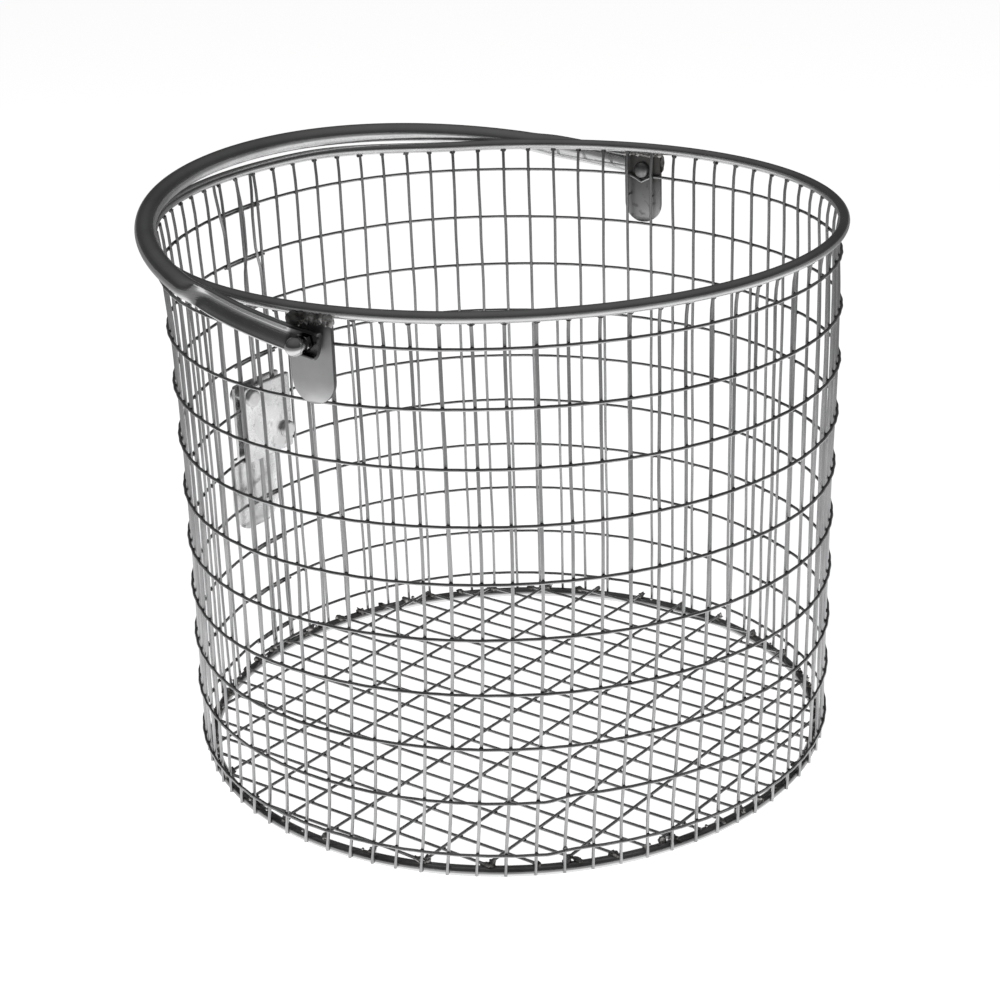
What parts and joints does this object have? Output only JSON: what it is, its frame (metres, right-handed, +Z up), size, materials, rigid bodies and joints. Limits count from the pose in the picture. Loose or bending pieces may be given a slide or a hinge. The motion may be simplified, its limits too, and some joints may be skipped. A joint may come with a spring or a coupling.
{
  "type": "round wire mesh basket strainer",
  "caption": "Round welded-wire mesh basket strainer with a rim rod, mesh floor, folding tubular swing handle on two lugs, and a side hook for draining.",
  "frame": {"origin": "on the basket's axis, in the plane that the base ring stands on", "axes": "+Z up out of the mouth; Y along the handle's pivot axis; the folded handle and the draining hook lie towards -X"},
  "size_m": [0.3231, 0.3492, 0.274],
  "materials": {
    "mesh_wire": "bright drawn wire, slightly dull, with darker weld spots",
    "rod": "smooth satin rod",
    "handle_tube": "polished to satin, with bright streaks along the tube",
    "plate": "matt mill-finish sheet, heat-darkened at the welds",
    "fastener": "bright polished"
  },
  "bodies": {
    "basket": {"top_rim": "rod", "base_ring": "rod", "wall_wires": "mesh_wire", "hoop_wire_01": "mesh_wire", "hoop_wire_02": "mesh_wire", "hoop_wire_03": "mesh_wire", "hoop_wire_04": "mesh_wire", "hoop_wire_05": "mesh_wire", "hoop_wire_06": "mesh_wire", "hoop_wire_07": "mesh_wire", "hoop_wire_08": "mesh_wire", "hoop_wire_09": "mesh_wire", "floor_wires": "mesh_wire", "floor_cross_wire_01": "mesh_wire", "floor_cross_wire_02": "mesh_wire", "floor_cross_wire_03": "mesh_wire", "floor_cross_wire_04": "mesh_wire", "floor_cross_wire_05": "mesh_wire", "floor_cross_wire_06": "mesh_wire", "floor_cross_wire_07": "mesh_wire", "floor_cross_wire_08": "mesh_wire", "floor_cross_wire_09": "mesh_wire", "floor_cross_wire_10": "mesh_wire", "floor_cross_wire_11": "mesh_wire", "front_lug": "plate", "front_pivot_screw": "fastener", "front_cap_nut": "fastener", "rear_lug": "plate", "rear_pivot_screw": "fastener", "rear_cap_nut": "fastener", "draining_hook": "plate", "hook_backing_plate": "plate", "hook_rivet_upper": "fastener", "hook_rivet_lower": "fastener"},
    "handle": {"swing_handle": "handle_tube"}
  },
  "joints": [
    {"name": "handle_swing", "type": "hinge", "parent": "basket", "child": "handle", "pos_m": [0, 0, 0.2421], "axis": [0, 1, 0], "range_deg": [0, 159.6]}
  ]
}
